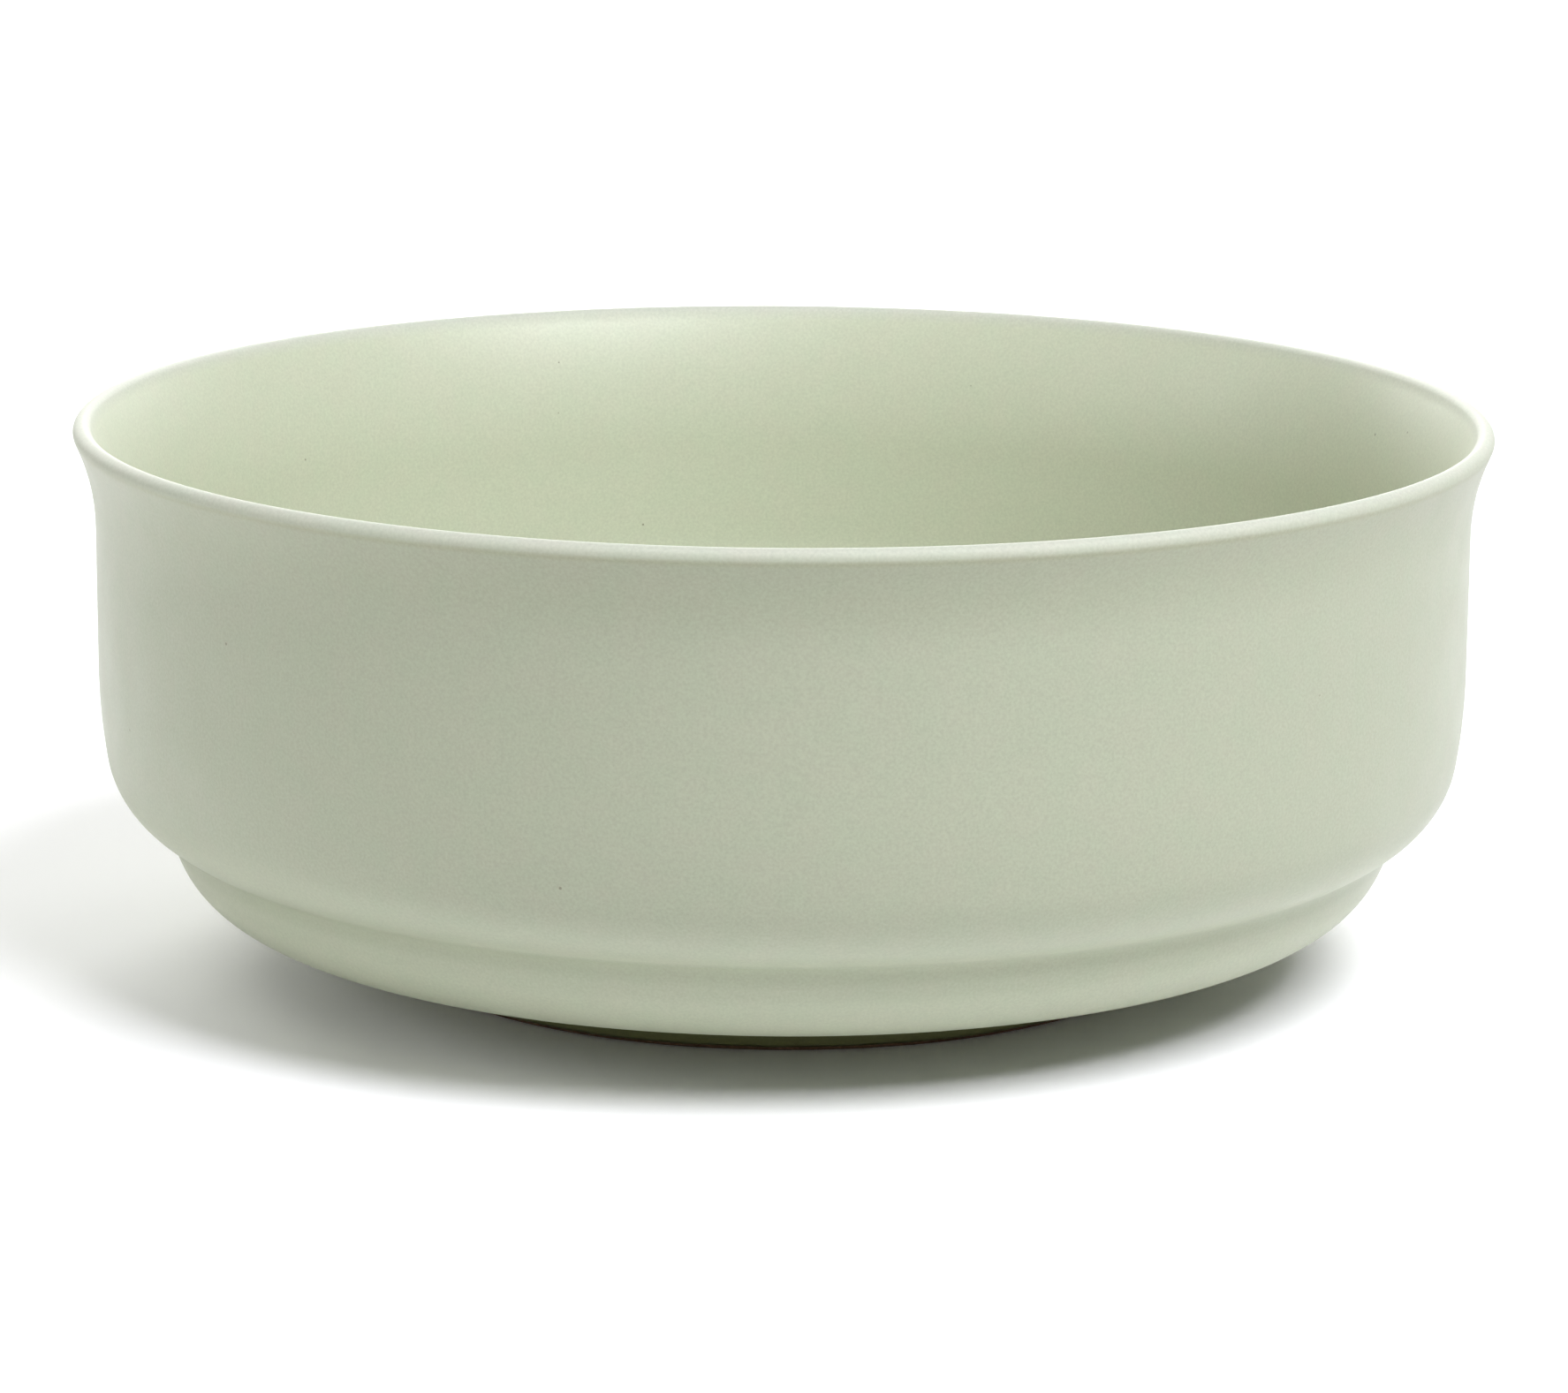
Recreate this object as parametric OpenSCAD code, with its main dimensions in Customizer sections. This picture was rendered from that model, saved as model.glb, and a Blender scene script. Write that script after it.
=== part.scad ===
// Matcha bowl: a wide, low tea bowl in glazed stoneware.
// The bowl stands on z = 0 with its axis on +Z and the rim at the top. Sizes are in millimetres.
// Every solid is turned about the axis. The outlines below are half sections, as [radius, height] points.
// "Skin" is the surface that a hand feels: the glaze where the clay is glazed.

/* [Rim and wall] */
// Diameter over the lip
rim_d = 150; // [120:1:180]
// Height from the table to the top of the lip
bowl_h = 58.3; // [52:0.1:90]
// Thickness of the rounded lip
lip_t = 2.0; // [1.6:0.1:3]
// How far the waist is drawn in from the lip, on the radius
waist_in = 2.2; // [0.8:0.1:4]
// Height of the outward flare, from the waist up to the middle of the lip
flare_h = 10; // [6:0.5:14]
// Clay and glaze together, at the waist
wall_t = 3.4; // [3:0.1:5]

/* [Shoulder and step] */
// How far the step lies in from the waist, on the radius
step_in = 6.7; // [6:0.1:11]
// Height of the step above the table
step_z = 15.3; // [14:0.1:18]
// Radius of the slight curve that starts the shoulder
ease_r = 60; // [30:1:80]
// Slope that the shoulder has when the tight curve starts, from the vertical
ease_angle = 9; // [5:0.5:12]
// Radius of the shoulder's tight curve
shoulder_r = 9.6; // [8:0.1:11]
// Slope of the shoulder where it runs into the step, from the vertical
shoulder_angle = 62; // [50:1:64]

/* [Belly] */
// Slope of the belly just under the step, from the vertical
belly_angle = 22; // [15:1:30]
// Length of the straight stretch under the step
belly_straight = 3.4; // [2:0.1:4]
// Radius of the curve that turns the belly under
belly_r = 10; // [8:0.1:10.5]

/* [Inside] */
// Height of the inner floor at its middle, above the table
floor_z = 10.2; // [9.8:0.1:14]
// Clay and glaze together, at the step
step_t = 3.9; // [3.2:0.1:5]
// Slope of the inner wall, from the vertical
inner_draft = 2; // [1:0.5:4]
// Height of the flare inside the bowl
inner_flare_h = 16; // [12:0.5:18]
// Slope of the dished floor where it meets the corner
dish_angle = 3; // [1:0.5:5]

/* [Foot] */
// Diameter of the foot ring's bare clay
foot_d = 84; // [70:1:90]
// Height of the foot ring, from the table to the glazed underside
foot_h = 5.2; // [4.3:0.1:5.8]
// Width of the foot ring's clay
foot_w = 4.6; // [4:0.1:6]
// Rounding of the foot ring's lower edges
foot_edge_r = 0.6; // [0.4:0.1:0.8]
// How far the foot ring's outside leans in towards the table
foot_lean = 0.5; // [0:0.1:1]

/* [Glaze] */
// Thickness of the glaze
glaze_t = 0.35; // [0.25:0.05:0.5]
// Height of the glaze line on the outside of the foot
glaze_line_z = 0.8; // [0.8:0.1:1.5]
// Height of the glaze line inside the foot
inner_glaze_line_z = 1.6; // [1:0.1:2.5]

/* [Hidden] */
// Facets round the axis, for the preview
$fn = 180;
// How far a chord may stray from its arc
arc_error = 0.008;

// Lip: a bead that the inner and outer flares run into
rim_r = rim_d / 2;
lip_r = lip_t / 2;
lip_axis = [rim_r - lip_r, bowl_h - lip_r];
lip_crest = lip_axis + [0, lip_r];

// Outside: the flare touches the bead and stands upright at the waist
waist_r = rim_r - waist_in;
flare_gap = lip_axis[0] - waist_r;
flare_r = (flare_gap^2 + flare_h^2 - lip_r^2) / (2 * (lip_r + flare_gap));
flare_angle = asin(flare_h / (flare_r + lip_r));
flare_axis = [waist_r + flare_r, lip_axis[1] - flare_h];

// Outside: the shoulder, worked out upwards from the step
step_r = waist_r - step_in;
step_point = [step_r, step_z];
ease_in = ease_r * (1 - cos(ease_angle));
turn_in = shoulder_r * (cos(ease_angle) - cos(shoulder_angle));
cone_in = step_in - ease_in - turn_in;
shoulder_end = step_point + cone_in * [1, 1 / tan(shoulder_angle)];
shoulder_axis = shoulder_end - shoulder_r * slope_normal(shoulder_angle);
ease_axis = shoulder_axis - (ease_r - shoulder_r) * slope_normal(ease_angle);

// Outside: the belly, worked out downwards from the step
belly_start = step_point - belly_straight * [sin(belly_angle), cos(belly_angle)];
belly_axis = belly_start - belly_r * slope_normal(belly_angle);

// Foot ring: its clay, and the glaze's corner where the underside meets it
foot_r = foot_d / 2;
foot_top_r = foot_r + foot_lean;
foot_inner_r = foot_r - foot_w;
foot_corner = [foot_top_r + glaze_t, foot_h];
foot_glaze_end = [foot_wall(glaze_line_z), glaze_line_z];

// Underside: a straight line from the foot's corner that touches the belly's curve
under_run = belly_axis - foot_corner;
under_slope = atan2(under_run[1], under_run[0]) - asin(belly_r / norm(under_run));
base_z = foot_h + glaze_t / cos(under_slope) - glaze_t * tan(under_slope);

// Inside: flare, drafted wall, corner and dished floor, each touching the next
inner_r = waist_r - wall_t;
inner_gap = lip_axis[0] - inner_r;
inner_flare_r = (inner_gap^2 + inner_flare_h^2 - lip_r^2) / (2 * (inner_gap - lip_r));
inner_flare_angle = asin(inner_flare_h / (inner_flare_r - lip_r));
inner_flare_axis = [inner_r + inner_flare_r, lip_axis[1] - inner_flare_h];
inner_height = inner_flare_axis[1] - floor_z;
corner_share = 1 - tan(dish_angle / 2) * tan(inner_draft);
sharp_r = (inner_r - inner_height * tan(inner_draft)) / corner_share;
sharp_corner = [sharp_r, floor_z + sharp_r * tan(dish_angle / 2)];
axis_shift = (1 / cos(inner_draft) - tan(inner_draft)) / corner_share;
axis_way = [-axis_shift, 1 - axis_shift * tan(dish_angle / 2)];
// The corner's radius leaves step_t between its arc and the step: the root of a quadratic
step_way = step_point - sharp_corner;
corner_a = axis_way * axis_way - 1;
corner_b = step_way * axis_way + step_t;
corner_c = step_way * step_way - step_t^2;
corner_r = (corner_b + sqrt(corner_b^2 - corner_a * corner_c)) / corner_a;
corner_axis = sharp_corner + corner_r * axis_way;
dish_r = corner_r + corner_axis[0] / sin(dish_angle);
dish_axis = [0, floor_z + dish_r];

// Direction that faces out of a surface with this slope from the vertical, leaning downwards
function slope_normal(slope) = [cos(slope), -sin(slope)];

// Radius of the foot ring's clay at a height
function foot_wall(z) = foot_r + foot_lean * (z - foot_edge_r) / (foot_h - foot_edge_r);

// Points of an arc from angle a0 to angle a1, without its first point, so that arcs join up
function arc(axis, r, a0, a1) =
    let (steps = max(2, ceil(abs(a1 - a0) / (2 * acos(1 - arc_error / r)))))
    [for (i = [1:steps]) let (a = a0 + (a1 - a0) * i / steps) axis + r * [cos(a), sin(a)]];

// Unit vector on the left of the way from p to q
function left_of(p, q) = [p[1] - q[1], q[0] - p[0]] / norm(q - p);

// A path moved sideways to its left by d, keeping its ends' radii
function beside(path, d) =
    let (last = len(path) - 1)
    [for (i = [0:last])
        i == 0 || i == last
            ? path[i] - [0, abs(d)]
            : let (a = left_of(path[i - 1], path[i]), b = left_of(path[i], path[i + 1]))
              path[i] + d * (a + b) / (1 + a * b)];

function without_last(path) = [for (i = [0:len(path) - 2]) path[i]];
function without_first(path) = [for (i = [1:len(path) - 1]) path[i]];
function reversed(path) = [for (i = [len(path) - 1:-1:0]) path[i]];

// Outer skin, from the lip's crest down to the corner at the foot
outer_skin = concat(
    [lip_crest],
    arc(lip_axis, lip_r, 90, -flare_angle),
    arc(flare_axis, flare_r, 180 - flare_angle, 180),
    [ease_axis + [ease_r, 0]],
    arc(ease_axis, ease_r, 0, -ease_angle),
    arc(shoulder_axis, shoulder_r, -ease_angle, -shoulder_angle),
    [step_point, belly_start],
    arc(belly_axis, belly_r, -belly_angle, under_slope - 90),
    [foot_corner]
);

// Inner skin, from the lip's crest down to the middle of the floor
inner_skin = concat(
    [lip_crest],
    arc(lip_axis, lip_r, 90, 180 - inner_flare_angle),
    arc(inner_flare_axis, inner_flare_r, 180 - inner_flare_angle, 180),
    [corner_axis + corner_r * slope_normal(inner_draft)],
    arc(corner_axis, corner_r, -inner_draft, dish_angle - 90),
    arc(dish_axis, dish_r, dish_angle - 90, -90)
);

// The clay lies one glaze thickness inside each skin
outer_clay = concat(without_last(beside(outer_skin, -glaze_t)), [[foot_top_r, base_z]]);
inner_clay = beside(inner_skin, glaze_t);

module turned(outline) {
    rotate_extrude() polygon(outline);
}

// Thrown and turned clay wall and floor
module bowl_body() {
    color("#c2a27c")
        turned(concat(outer_clay, [[0, base_z]], reversed(without_first(inner_clay))));
}

// Clay ring that the bowl stands on, bare at its lower edge
module foot_ring() {
    edge_up = foot_edge_r;
    color("#8f5f3a")
        turned(concat(
            [[foot_top_r, base_z], [foot_top_r, foot_h], [foot_r, edge_up]],
            arc([foot_r - foot_edge_r, edge_up], foot_edge_r, 0, -90),
            [[foot_inner_r + foot_edge_r, 0]],
            arc([foot_inner_r + foot_edge_r, edge_up], foot_edge_r, -90, -180),
            [[foot_inner_r, base_z]]
        ));
}

// Glaze on the outside, from the crest of the lip to the glaze line on the foot
module outer_glaze() {
    color("#b9c4a5")
        turned(concat(
            outer_skin,
            [foot_glaze_end + [glaze_t, 0], foot_glaze_end, [foot_top_r, foot_h]],
            reversed(outer_clay)
        ));
}

// Glaze on the inside, from the crest of the lip to the middle of the floor
module inner_glaze() {
    color("#c9d2b8")
        turned(concat(inner_skin, reversed(inner_clay)));
}

// Glaze under the floor and down the inside of the foot ring
module underside_glaze() {
    glaze_r = foot_inner_r - glaze_t;
    color("#a9b494")
        turned([
            [0, base_z],
            [foot_inner_r, base_z],
            [foot_inner_r, inner_glaze_line_z],
            [glaze_r, inner_glaze_line_z],
            [glaze_r, base_z - glaze_t],
            [0, base_z - glaze_t]
        ]);
}

bowl_body();
foot_ring();
outer_glaze();
inner_glaze();
underside_glaze();
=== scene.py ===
import math

import bmesh
import bpy
import numpy as np
from mathutils import Matrix, Quaternion, Vector, noise


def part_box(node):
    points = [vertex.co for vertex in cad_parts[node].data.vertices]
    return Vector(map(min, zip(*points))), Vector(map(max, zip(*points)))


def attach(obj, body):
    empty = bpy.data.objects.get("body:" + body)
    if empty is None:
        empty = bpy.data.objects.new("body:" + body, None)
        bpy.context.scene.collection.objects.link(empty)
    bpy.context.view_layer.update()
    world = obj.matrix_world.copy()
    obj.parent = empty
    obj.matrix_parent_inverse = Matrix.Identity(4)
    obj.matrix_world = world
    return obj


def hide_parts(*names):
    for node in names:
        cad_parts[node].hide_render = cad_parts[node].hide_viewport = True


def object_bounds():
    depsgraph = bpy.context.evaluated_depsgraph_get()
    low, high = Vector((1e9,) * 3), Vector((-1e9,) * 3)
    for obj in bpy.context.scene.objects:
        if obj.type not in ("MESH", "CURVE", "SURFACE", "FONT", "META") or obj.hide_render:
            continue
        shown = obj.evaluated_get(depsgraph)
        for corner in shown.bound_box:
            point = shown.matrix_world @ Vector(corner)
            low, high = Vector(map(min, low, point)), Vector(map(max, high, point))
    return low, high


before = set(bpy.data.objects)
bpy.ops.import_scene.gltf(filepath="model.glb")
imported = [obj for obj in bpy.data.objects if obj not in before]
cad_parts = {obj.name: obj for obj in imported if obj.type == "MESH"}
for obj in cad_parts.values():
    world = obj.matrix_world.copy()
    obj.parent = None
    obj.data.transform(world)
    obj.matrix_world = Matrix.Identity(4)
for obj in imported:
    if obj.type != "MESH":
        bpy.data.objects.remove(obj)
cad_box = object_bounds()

# Everything is in metres. The bowl stands on z = 0 with its axis on +Z.
MM = 0.001
RIM_RADIUS = cad_box[1][0]
RIM_HEIGHT = cad_box[1][2]
FOOT_OUTER_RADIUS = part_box("foot_ring")[1][0]

# ---------------------------------------------------------------- camera
# The camera looks along +Y and down at the bowl.
CAMERA_PLACE = (0, -0.60134, 0.16291)
CAMERA_PITCH = math.radians(12.70)
CAMERA_YAW = math.radians(0.018)
CAMERA_ROLL = math.radians(0.384)
CAMERA_LENS = 131.8
CAMERA_SENSOR = 36
CAMERA_NEAR = 0.01
CAMERA_FAR = 50


def add_camera():
    data = bpy.data.cameras.new("camera")
    data.lens = CAMERA_LENS
    data.sensor_width = CAMERA_SENSOR
    data.clip_start = CAMERA_NEAR
    data.clip_end = CAMERA_FAR
    forward = Vector((
        math.sin(CAMERA_YAW) * math.cos(CAMERA_PITCH),
        math.cos(CAMERA_YAW) * math.cos(CAMERA_PITCH),
        -math.sin(CAMERA_PITCH),
    ))
    turn = forward.to_track_quat("-Z", "Y") @ Quaternion((0, 0, 1), CAMERA_ROLL)
    camera = bpy.data.objects.new("camera", data)
    camera.matrix_world = Matrix.LocRotScale(Vector(CAMERA_PLACE), turn, None)
    bpy.context.scene.collection.objects.link(camera)
    bpy.context.scene.camera = camera


# ---------------------------------------------------------------- light and floor
LIGHT_DISTANCE = 1.2
# Each round light: azimuth from the camera's side round to the right, elevation, diameter, watts
LIGHTS = {
    "key": (45, 55, 0.7, 19.2),
    "top": (0, 75, 0.5, 0.8),
    "back": (180, 22, 0.55, 10.5),
    "back_left": (-150, 22, 0.55, 5.9),
    "back_right": (150, 22, 0.55, 3.0),
    "left": (-90, 22, 0.55, 2.5),
    "front_left": (-60, 22, 0.55, 1.1),
    "high_left": (-45, 55, 0.7, 1.4),
}
# The key is slightly cooler than the others
KEY_COLOUR = (1.0, 1.0, 1.07)
# The studio's walls are bright near the floor and fade out upwards. These heights are sines of the elevation.
WALL_STRENGTH = 0.7
WALL_BRIGHT_TO = 0.05
WALL_DARK_FROM = 0.45
FLOOR_RADIUS = 1.3
FLOOR_SIDES = 96


def add_light(name, azimuth, elevation, diameter, watts):
    data = bpy.data.lights.new(name, "AREA")
    data.shape = "DISK"
    data.size = diameter
    data.energy = watts
    if name == "key":
        data.color = KEY_COLOUR
    a = math.radians(azimuth)
    e = math.radians(elevation)
    towards = Vector((math.sin(a) * math.cos(e), -math.cos(a) * math.cos(e), math.sin(e)))
    target = Vector((0, 0, RIM_HEIGHT / 2))
    turn = towards.to_track_quat("Z", "Y")
    light = bpy.data.objects.new(name, data)
    light.matrix_world = Matrix.LocRotScale(target + towards * LIGHT_DISTANCE, turn, None)
    bpy.context.scene.collection.objects.link(light)


def add_world():
    world = bpy.data.worlds.new("studio")
    world.use_nodes = True
    tree = world.node_tree
    towards = add_node(tree, "ShaderNodeTexCoord").outputs["Generated"]
    height = height_of(tree, towards)
    fade = spread_value(
        tree, height, (WALL_BRIGHT_TO, WALL_DARK_FROM), (WALL_STRENGTH, 0.0), interpolation_type="SMOOTHSTEP"
    )
    background = tree.nodes["Background"]
    background.inputs["Color"].default_value = (1, 1, 1, 1)
    tree.links.new(fade, background.inputs["Strength"])
    bpy.context.scene.world = world


def add_floor():
    corners = [math.tau * i / FLOOR_SIDES for i in range(FLOOR_SIDES)]
    places = [(FLOOR_RADIUS * math.cos(a), FLOOR_RADIUS * math.sin(a), 0) for a in corners]
    mesh = bpy.data.meshes.new("floor")
    mesh.from_pydata(places, [], [range(FLOOR_SIDES)])
    mesh.materials.append(floor_material())
    floor = bpy.data.objects.new("floor", mesh)
    bpy.context.scene.collection.objects.link(floor)


# ---------------------------------------------------------------- outlines from the frame
# Points of a section closer than this are one point
SAME_POINT = 0.01 * MM
# A point nearer the axis than this is on it
AXIS_RADIUS = 0.02 * MM
# A turned ring has at least this many vertices
FEWEST_ON_RING = 12
# Straight runs are cut into pieces no longer than this
LONGEST_RUN = 3 * MM
# How far from the lip's crest its level point lies
CREST_GUARD = 0.06 * MM


def rings_of(mesh):
    """The [radius, height] of each ring of a turned mesh, its number of vertices, and each vertex's ring."""
    places = np.array([v.co[:] for v in mesh.vertices])
    section = np.stack([np.hypot(places[:, 0], places[:, 1]), places[:, 2]], axis=1)
    cells, cell_of = np.unique(np.round(section / SAME_POINT).astype(int), axis=0, return_inverse=True)
    points = []
    ring_of_cell = []
    for cell in cells:
        near = [k for k, p in enumerate(points) if np.abs(p - cell).max() <= 1]
        if not near:
            near = [len(points)]
            points.append(cell)
        ring_of_cell.append(near[0])
    ring_of = np.array(ring_of_cell)[cell_of.ravel()]
    middles = [section[ring_of == k].mean(axis=0) for k in range(len(points))]
    return middles, np.bincount(ring_of), ring_of


def half_section(node):
    """The outline of a turned CAD node as [radius, height] points in order, and whether it is a loop."""
    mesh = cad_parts[node].data
    points, sizes, ring_of = rings_of(mesh)
    real = [sizes[k] >= FEWEST_ON_RING or points[k][0] < AXIS_RADIUS for k in range(len(points))]
    beside = {k: {} for k in range(len(points)) if real[k]}
    for edge in mesh.edges:
        a, b = (int(ring_of[v]) for v in edge.vertices)
        if a != b and real[a] and real[b]:
            beside[a][b] = beside[a].get(b, 0) + 1
            beside[b][a] = beside[b].get(a, 0) + 1
    ends = [k for k in beside if len(beside[k]) == 1]
    chain = ends[:1] or [min(beside, key=lambda k: points[k][1])]
    while onward := [k for k in beside[chain[-1]] if k not in chain]:
        chain.append(max(onward, key=lambda k: beside[chain[-1]][k]))
    outline = [points[k] for k in chain]
    if not ends:
        return outline, True
    if outline[0][0] > AXIS_RADIUS:
        outline = [np.array([0, outline[0][1]])] + outline
    if outline[-1][0] > AXIS_RADIUS:
        outline = outline + [np.array([0, outline[-1][1]])]
    return outline, False


def split_runs(outline, closed):
    """The same outline with its long straight runs cut into shorter ones."""
    points = []
    ends = outline[1:] + (outline[:1] if closed else [])
    for a, b in zip(outline, ends):
        steps = math.ceil(np.linalg.norm(b - a) / LONGEST_RUN)
        points += [a + (b - a) * i / steps for i in range(steps)]
    return points if closed else points + outline[-1:]


def level_at_crest(outline, crest):
    """Adds a level point beside the lip's crest, and says which point the crest is.
    The two coats of glaze meet at the crest, and this lets them do so without a ridge."""
    at = min(range(len(outline)), key=lambda i: np.linalg.norm(outline[i] - crest))
    for step in (-1, 1):
        across = outline[(at + step) % len(outline)][0] - crest[0]
        if abs(across) > SAME_POINT:
            guard = crest + np.array([math.copysign(CREST_GUARD, across), 0])
            if step < 0:
                return outline[:at] + [guard] + outline[at:], at + 1
            return outline[:at + 1] + [guard] + outline[at + 1:], at
    return outline, at


def lip_crest():
    """The [radius, height] of the lip's crest, where the outer and inner coats meet."""
    crest_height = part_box("outer_glaze")[1][2]
    outline, _ = half_section("outer_glaze")
    highest = max(outline, key=lambda p: (round(p[1] / SAME_POINT), -p[0]))
    return np.array([highest[0], crest_height])


# ---------------------------------------------------------------- small departures from the turned shape
# How far the rim strays from a true circle, and its waves: share, lobes, phase, twist up the wall
ROUNDNESS = 0.06 * MM
ROUND_WAVES = ((0.55, 2, 0.7, 0.0), (0.30, 3, 2.1, 0.8), (0.15, 5, 4.0, -1.3))
# The glaze's lower edge: how far it runs down and strays, how high up that reaches, and its waves' shares
# and frequencies
EDGE_RUN = 0.55 * MM
EDGE_WANDER = 0.3 * MM
EDGE_REACH = 2.0 * MM
EDGE_WAVES = ((0.6, 3.1), (0.4, 15))
# The bare clay's grain, and the crumb stuck to it
FOOT_GRAIN = 0.03 * MM
FOOT_GRAIN_SIZE = 0.9 * MM
CRUMB_TURN = math.radians(-89.3)
CRUMB_OUT = 0.25 * MM
CRUMB_WIDTH = 0.5 * MM
CRUMB_HEIGHT = 0.4 * MM


def out_of_round(turn, height):
    """How far the fired bowl strays from a true circle at a height. It grows towards the rim."""
    rise = height / RIM_HEIGHT
    waves = sum(
        share * math.cos(lobes * turn + phase + twist * rise)
        for share, lobes, phase, twist in ROUND_WAVES
    )
    return ROUNDNESS * rise * waves


def straight(turn, radius, height):
    """No departure: the offsets outwards and upwards of a plain turned surface."""
    return 0, 0


def wandering_edge(turn, radius, height):
    """A coat of glaze ends in a line that runs down unevenly, and its wall above stretches to suit."""
    fade = max(0, 1 - height / EDGE_REACH)
    place = Vector((math.cos(turn), math.sin(turn), radius / RIM_RADIUS))
    drift = sum(share * noise.noise(place * frequency) for share, frequency in EDGE_WAVES)
    return 0, (EDGE_WANDER * drift - EDGE_RUN) * fade


def foot_clay(turn, radius, height):
    """Grains and pits of bare clay, and one crumb stuck to the outside of the foot."""
    place = Vector((radius * math.cos(turn), radius * math.sin(turn), height))
    grain = FOOT_GRAIN * noise.noise(place / FOOT_GRAIN_SIZE)
    along = radius * math.remainder(turn - CRUMB_TURN, math.tau)
    far = math.hypot(along, height - CRUMB_HEIGHT, FOOT_OUTER_RADIUS - radius) / CRUMB_WIDTH
    return grain + CRUMB_OUT * math.exp(-far**2), 0


# ---------------------------------------------------------------- turned pieces
SEGMENTS = 160


def turn_outline(outline, closed, shape):
    """The vertices, faces and rings of vertex numbers of an outline turned about +Z."""
    vertices = []
    faces = []
    rings = []
    # Subdivision draws each ring in, and this makes up for it
    spread = 4 / (3 + math.cos(math.tau / SEGMENTS))
    for r, z in outline:
        first = len(vertices)
        if r < AXIS_RADIUS:
            vertices.append((0, 0, z))
            rings.append([first])
            continue
        for i in range(SEGMENTS):
            turn = math.tau * i / SEGMENTS
            out, up = shape(turn, r, z)
            radius = r * spread + out_of_round(turn, z) + out
            vertices.append((radius * math.cos(turn), radius * math.sin(turn), z + up))
        rings.append(range(first, len(vertices)))
    for a, b in zip(rings, rings[1:] + (rings[:1] if closed else [])):
        for i in range(SEGMENTS):
            j = (i + 1) % SEGMENTS
            corners = (a[i % len(a)], a[j % len(a)], b[j % len(b)], b[i % len(b)])
            faces.append(list(dict.fromkeys(corners)))
    return vertices, faces, rings


def smooth_mesh(name, vertices, faces, sharp):
    """A smooth mesh facing outwards, with a crease along the edges between the vertices in sharp."""
    mesh = bpy.data.meshes.new(name)
    mesh.from_pydata(vertices, [], faces)
    shell = bmesh.new()
    shell.from_mesh(mesh)
    bmesh.ops.recalc_face_normals(shell, faces=shell.faces)
    crease = shell.edges.layers.float.new("crease_edge")
    for face in shell.faces:
        face.smooth = True
    for edge in shell.edges:
        if all(v.index in sharp for v in edge.verts):
            edge[crease] = 1
            edge.smooth = False
    shell.to_mesh(mesh)
    shell.free()
    return mesh


def lathe(name, node, material, crest=None, shape=straight):
    """A smooth closed piece that stands for a turned CAD node, creased at the crest if one is given."""
    outline, closed = half_section(node)
    outline = split_runs(outline, closed)
    if crest is not None:
        outline, at = level_at_crest(outline, crest)
    vertices, faces, rings = turn_outline(outline, closed, shape)
    sharp = set(rings[at]) if crest is not None else set()
    mesh = smooth_mesh(name, vertices, faces, sharp)
    mesh.materials.append(material)
    piece = bpy.data.objects.new(name, mesh)
    bpy.context.scene.collection.objects.link(piece)
    rounding = piece.modifiers.new("rounding", "SUBSURF")
    rounding.levels = rounding.render_levels = 1
    rounding.use_limit_surface = False
    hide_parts(node)
    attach(piece, "root")
    return piece


# ---------------------------------------------------------------- shader nodes
# Sockets of the Mix and Map Range nodes, which go by number because several share a name
MIX_FACTOR = 0
MIX_VALUES = (2, 3)
MIX_VALUE_OUT = 0
MIX_COLOURS = (6, 7)
MIX_COLOUR_OUT = 2
MAP_VALUE = 0
MAP_FROM = (1, 2)
MAP_TO = (3, 4)
# Most of a noise texture's values lie in the first range, and its middle values in the second
MOST_NOISE = (0.3, 0.7)
MID_NOISE = (0.35, 0.65)


def add_node(tree, kind, inputs=(), **settings):
    """Adds a node. inputs gives sockets by name or number, each a value or another node's output."""
    made = tree.nodes.new(kind)
    for key, value in settings.items():
        setattr(made, key, value)
    for key, value in dict(inputs).items():
        if isinstance(value, bpy.types.NodeSocket):
            tree.links.new(value, made.inputs[key])
        else:
            made.inputs[key].default_value = value
    return made


def new_surface(name, **values):
    """A material with a Principled shader. Returns it, its tree, the shader and object coordinates."""
    material = bpy.data.materials.new(name)
    material.use_nodes = True
    tree = material.node_tree
    shader = tree.nodes["Principled BSDF"]
    for key, value in values.items():
        shader.inputs[key.replace("_", " ")].default_value = value
    place = add_node(tree, "ShaderNodeTexCoord").outputs["Object"]
    return material, tree, shader, place


def rgb(colour):
    """A colour with full alpha, as sockets take it."""
    return (*colour, 1)


def noise_value(tree, place, size, detail):
    """Noise from 0 to 1 whose features are about this size, in metres."""
    inputs = {"Vector": place, "Scale": 1 / size, "Detail": detail}
    return add_node(tree, "ShaderNodeTexNoise", inputs).outputs[0]


def spread_value(tree, value, given, wanted=(0.0, 1.0), **settings):
    """Maps a value from the given range to the wanted one, held at the range's ends."""
    inputs = {MAP_VALUE: value, MAP_FROM[0]: given[0], MAP_FROM[1]: given[1]}
    inputs.update({MAP_TO[0]: wanted[0], MAP_TO[1]: wanted[1]})
    return add_node(tree, "ShaderNodeMapRange", inputs, clamp=True, **settings).outputs[0]


def mix(tree, factor, a, b):
    """Mixes two colours."""
    inputs = {MIX_FACTOR: factor, MIX_COLOURS[0]: a, MIX_COLOURS[1]: b}
    return add_node(tree, "ShaderNodeMix", inputs, data_type="RGBA").outputs[MIX_COLOUR_OUT]


def multiply(tree, a, b):
    """Multiplies two colours, or a colour and a value."""
    inputs = {MIX_FACTOR: 1.0, MIX_COLOURS[0]: a, MIX_COLOURS[1]: b}
    settings = {"data_type": "RGBA", "blend_type": "MULTIPLY"}
    return add_node(tree, "ShaderNodeMix", inputs, **settings).outputs[MIX_COLOUR_OUT]


def mix_values(tree, factor, a, b):
    """Mixes two plain values."""
    inputs = {MIX_FACTOR: factor, MIX_VALUES[0]: a, MIX_VALUES[1]: b}
    return add_node(tree, "ShaderNodeMix", inputs).outputs[MIX_VALUE_OUT]


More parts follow.
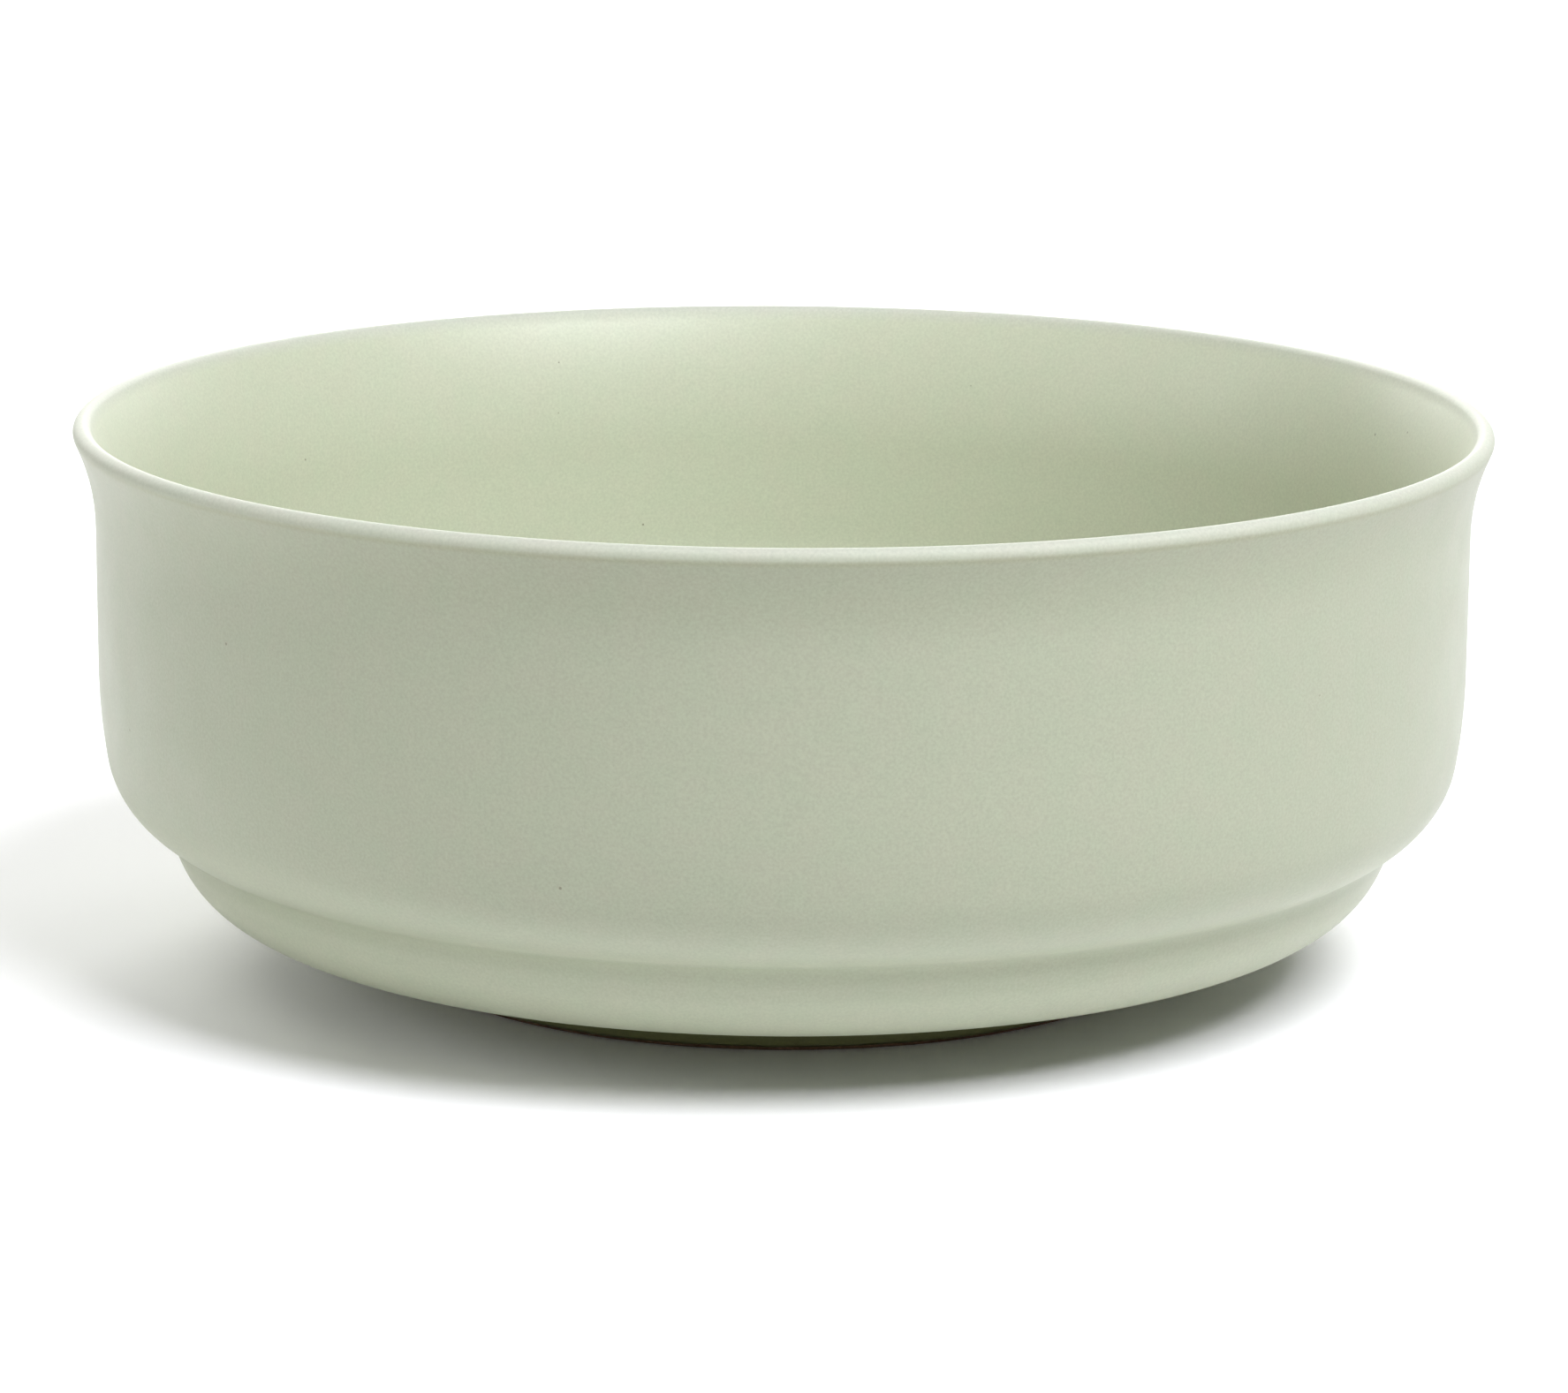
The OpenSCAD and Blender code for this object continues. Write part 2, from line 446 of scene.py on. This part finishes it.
def height_of(tree, place):
    return add_node(tree, "ShaderNodeSeparateXYZ", {0: place}).outputs["Z"]


def bump(tree, height, depth, beneath=None):
    """Relief of this depth in metres, on top of the relief beneath it."""
    inputs = {"Height": height, "Distance": depth, "Strength": 1.0}
    if beneath is not None:
        inputs["Normal"] = beneath
    return add_node(tree, "ShaderNodeBump", inputs).outputs[0]


def tint_by_height(tree, place, tints_and_painted_light):
    """A colour that changes smoothly from one height's tint to the next, in rising order."""
    low = tints_and_painted_light[0][0]
    high = tints_and_painted_light[-1][0]
    share = spread_value(tree, height_of(tree, place), (low, high))
    ramp = add_node(tree, "ShaderNodeValToRGB", {"Fac": share})
    ramp.color_ramp.interpolation = "EASE"
    # A ramp starts with two stops. Its colours stop at 1, so they are shares of the brightest tint.
    stops = ramp.color_ramp.elements
    for _ in tints_and_painted_light[2:]:
        stops.new(0.5)
    brightest = max(max(tint) for _, tint in tints_and_painted_light)
    for i, (z, tint) in enumerate(tints_and_painted_light):
        stops[i].position = (z - low) / (high - low)
        stops[i].color = rgb([c / brightest for c in tint])
    return multiply(tree, ramp.outputs["Color"], rgb([brightest] * 3))


# ---------------------------------------------------------------- glaze
# One glaze covers the bowl inside and out. The inner coat's colour is painted lighter than the outer's, as
# painted light inside the bowl.
OUTER_GLAZE = (0.323, 0.348, 0.248)
INNER_GLAZE_PAINTED_LIGHTER = (0.460, 0.492, 0.362)
OUTER_ROUGHNESS = 0.42
INNER_ROUGHNESS = 0.47
UNDERSIDE_ROUGHNESS = 0.45
OUTER_IOR = 1.5
INNER_IOR = 1.7
# The lip's bead is paler, greyer and more matte. Its paler colour is partly thinner glaze and partly a
# painted highlight. It fades in from the first height to the second.
LIP_GLAZE_AND_HIGHLIGHT = (0.445, 0.465, 0.38)
LIP_ROUGHNESS = 0.75
LIP_FADE = (RIM_HEIGHT - 1.5 * MM, RIM_HEIGHT - 0.2 * MM)
# The outer glaze's tint at each height, mostly painted light and painted shade. It is dark on the foot,
# partly darker glaze and partly painted shade, and dark in the step's crease, 15.3 mm up, as painted shade.
# It is pale either side of the crease and low on the belly as painted light, a little darker under the lip as
# painted shade, and tan in a line under the lip's bead, partly thin glaze and partly painted shade.
OUTER_TINTS_AND_PAINTED_LIGHT = (
    (5.0 * MM, (0.40, 0.39, 0.20)),
    (5.5 * MM, (1.18, 1.18, 1.18)),
    (10.5 * MM, (1.20, 1.20, 1.21)),
    (12.5 * MM, (1.12, 1.12, 1.12)),
    (14.3 * MM, (0.97, 0.98, 0.95)),
    (15.1 * MM, (0.98, 0.99, 0.96)),
    (16.0 * MM, (1.19, 1.19, 1.22)),
    (17.0 * MM, (1.17, 1.17, 1.20)),
    (22.0 * MM, (1.00, 1.00, 1.00)),
    (RIM_HEIGHT - 11.3 * MM, (0.99, 0.99, 0.99)),
    (RIM_HEIGHT - 5.3 * MM, (0.95, 0.95, 0.93)),
    (RIM_HEIGHT - 1.9 * MM, (0.95, 0.94, 0.93)),
    (RIM_HEIGHT - 1.4 * MM, (0.90, 0.88, 0.82)),
    (RIM_HEIGHT - 1.05 * MM, (1.00, 1.00, 1.00)),
)
# Faint warm and cool patches, and the fine speckle over them
MOTTLE_PINKISH = (1.012, 0.996, 1.004)
MOTTLE_GREENISH = (0.988, 1.004, 0.996)
MOTTLE_SIZE = 3.5 * MM
SPECKLE_SIZE = 0.3 * MM
SPECKLE_SHADES = (0.94, 1.06)
# Patches that are a little more or less glossy
GLOSS_PATCH_SIZE = 6 * MM
GLOSS_SPREAD = 0.03
# Each relief: the size of its features, and its depth
BROAD_RELIEF = (2.5 * MM, 0.012 * MM)
FINE_RELIEF = (0.3 * MM, 0.006 * MM)
# A fleck's dark middle and faded edge are shares of the spacing
FLECK = (0.16, 0.15, 0.10)
FLECK_SPACING = 7 * MM
FLECK_RADII = (0.016, 0.026)
FLECK_STRENGTH = 0.8


def glaze_colour(tree, place, base, tints_and_painted_light):
    """The glaze's colour, paler and greyer on the lip with a painted highlight there, with mottling, speckle,
    colour by height that is mostly painted light and painted shade, and flecks.
    """
    on_lip = spread_value(tree, height_of(tree, place), LIP_FADE)
    # Paler on the lip: partly thinner glaze, partly a painted highlight
    colour = mix(tree, on_lip, rgb(base), rgb(LIP_GLAZE_AND_HIGHLIGHT))
    patches = spread_value(tree, noise_value(tree, place, MOTTLE_SIZE, 4), MID_NOISE)
    mottle = mix(tree, patches, rgb(MOTTLE_PINKISH), rgb(MOTTLE_GREENISH))
    colour = multiply(tree, colour, mottle)
    speckle = spread_value(tree, noise_value(tree, place, SPECKLE_SIZE, 2), MOST_NOISE, SPECKLE_SHADES)
    colour = multiply(tree, colour, speckle)
    # Colour by height, most of it painted light and painted shade
    if tints_and_painted_light:
        colour = multiply(tree, colour, tint_by_height(tree, place, tints_and_painted_light))
    return mix(tree, fleck_mask(tree, place), colour, rgb(FLECK))


def fleck_mask(tree, place):
    """FLECK_STRENGTH in a few dark flecks of iron, and 0 elsewhere."""
    cells = add_node(tree, "ShaderNodeTexVoronoi", {"Vector": place, "Scale": 1 / FLECK_SPACING})
    return spread_value(tree, cells.outputs["Distance"], FLECK_RADII, (FLECK_STRENGTH, 0.0))


def glaze_roughness(tree, place, roughness):
    """Patchy roughness, more matte on the lip."""
    ends = (roughness - GLOSS_SPREAD, roughness + GLOSS_SPREAD)
    patches = spread_value(tree, noise_value(tree, place, GLOSS_PATCH_SIZE, 3), MOST_NOISE, ends)
    on_lip = spread_value(tree, height_of(tree, place), LIP_FADE)
    return mix_values(tree, on_lip, patches, LIP_ROUGHNESS)


def glaze_relief(tree, place):
    """A broad, faint unevenness with a finer one on top."""
    size, depth = BROAD_RELIEF
    broad = bump(tree, noise_value(tree, place, size, 2), depth)
    size, depth = FINE_RELIEF
    return bump(tree, noise_value(tree, place, size, 2), depth, broad)


def glaze_material(name, base, roughness, ior, tints_and_painted_light=()):
    """Satin glaze: a soft green, uneven in colour, gloss and relief."""
    material, tree, shader, place = new_surface(name, IOR=ior)
    tree.links.new(glaze_colour(tree, place, base, tints_and_painted_light), shader.inputs["Base Color"])
    tree.links.new(glaze_roughness(tree, place, roughness), shader.inputs["Roughness"])
    tree.links.new(glaze_relief(tree, place), shader.inputs["Normal"])
    return material


# ---------------------------------------------------------------- clay and floor
CLAY_IOR = 1.45
BARE_CLAY = (0.10, 0.055, 0.028)
BARE_ROUGHNESS = 0.85
# How much lighter the toasted patches are, and their size
BARE_TOASTED = 1.5
BARE_TOAST_SIZE = 2.2 * MM
BARE_GRAIN_SIZE = 0.25 * MM
BARE_GRAIN_SHADES = (0.75, 1.2)
BARE_GRAIN_DEPTH = 0.04 * MM
BODY_CLAY = (0.55, 0.43, 0.31)
BODY_ROUGHNESS = 0.9
BODY_PATCH_SIZE = 4 * MM
BODY_PATCH_SHADES = (0.88, 1.06)
BODY_GRAIN_SIZE = 0.3 * MM
BODY_GRAIN_DEPTH = 0.03 * MM
FLOOR_COLOUR = (0.95, 0.95, 0.95)
FLOOR_IOR = 1.1
FLOOR_CLOUD_SIZE = 0.3
FLOOR_CLOUD_SHADES = (0.99, 1.0)


def bare_clay_material():
    """Unglazed foot: brown clay toasted by the fire, rough and grainy."""
    material, tree, shader, place = new_surface("bare_clay", Roughness=BARE_ROUGHNESS, IOR=CLAY_IOR)
    toast = spread_value(tree, noise_value(tree, place, BARE_TOAST_SIZE, 5), MID_NOISE)
    colour = mix(tree, toast, rgb(BARE_CLAY), rgb([BARE_TOASTED * c for c in BARE_CLAY]))
    grain = noise_value(tree, place, BARE_GRAIN_SIZE, 3)
    colour = multiply(tree, colour, spread_value(tree, grain, MOST_NOISE, BARE_GRAIN_SHADES))
    tree.links.new(colour, shader.inputs["Base Color"])
    tree.links.new(bump(tree, grain, BARE_GRAIN_DEPTH), shader.inputs["Normal"])
    return material


def clay_material():
    """The body's own clay, under the glaze."""
    material, tree, shader, place = new_surface("clay", Roughness=BODY_ROUGHNESS, IOR=CLAY_IOR)
    patches = noise_value(tree, place, BODY_PATCH_SIZE, 5)
    colour = multiply(tree, rgb(BODY_CLAY), spread_value(tree, patches, MID_NOISE, BODY_PATCH_SHADES))
    tree.links.new(colour, shader.inputs["Base Color"])
    grain = noise_value(tree, place, BODY_GRAIN_SIZE, 3)
    tree.links.new(bump(tree, grain, BODY_GRAIN_DEPTH), shader.inputs["Normal"])
    return material


def floor_material():
    """A pale matte floor."""
    material, tree, shader, place = new_surface("floor", Roughness=1.0, IOR=FLOOR_IOR)
    cloud = noise_value(tree, place, FLOOR_CLOUD_SIZE, 2)
    colour = multiply(tree, rgb(FLOOR_COLOUR), spread_value(tree, cloud, MOST_NOISE, FLOOR_CLOUD_SHADES))
    tree.links.new(colour, shader.inputs["Base Color"])
    return material


# ---------------------------------------------------------------- the bowl
def build_clay_body():
    body = lathe("clay_body", "bowl_body", clay_material())


def build_clay_foot():
    foot = lathe("clay_foot", "foot_ring", bare_clay_material(), shape=foot_clay)


def build_outer_coat(crest):
    # The outer coat's colour carries painted light and painted shade by height
    outer_glaze = glaze_material("outer_glaze", OUTER_GLAZE, OUTER_ROUGHNESS, OUTER_IOR, OUTER_TINTS_AND_PAINTED_LIGHT)
    outer = lathe("outer_coat", "outer_glaze", outer_glaze, crest, wandering_edge)


def build_inner_coat(crest):
    # Lighter than the outer coat as painted light inside the bowl
    inner_glaze = glaze_material("inner_glaze", INNER_GLAZE_PAINTED_LIGHTER, INNER_ROUGHNESS, INNER_IOR)
    inner = lathe("inner_coat", "inner_glaze", inner_glaze, crest)


def build_underside_coat():
    under_glaze = glaze_material("underside_glaze", OUTER_GLAZE, UNDERSIDE_ROUGHNESS, OUTER_IOR)
    under = lathe("underside_coat", "underside_glaze", under_glaze, shape=wandering_edge)


add_camera()
for light_name, facts in LIGHTS.items():
    add_light(light_name, *facts)
add_world()
add_floor()
lip = lip_crest()
build_clay_body()
build_clay_foot()
build_outer_coat(lip)
build_inner_coat(lip)
build_underside_coat()
bpy.context.scene.view_settings.view_transform = "Standard"
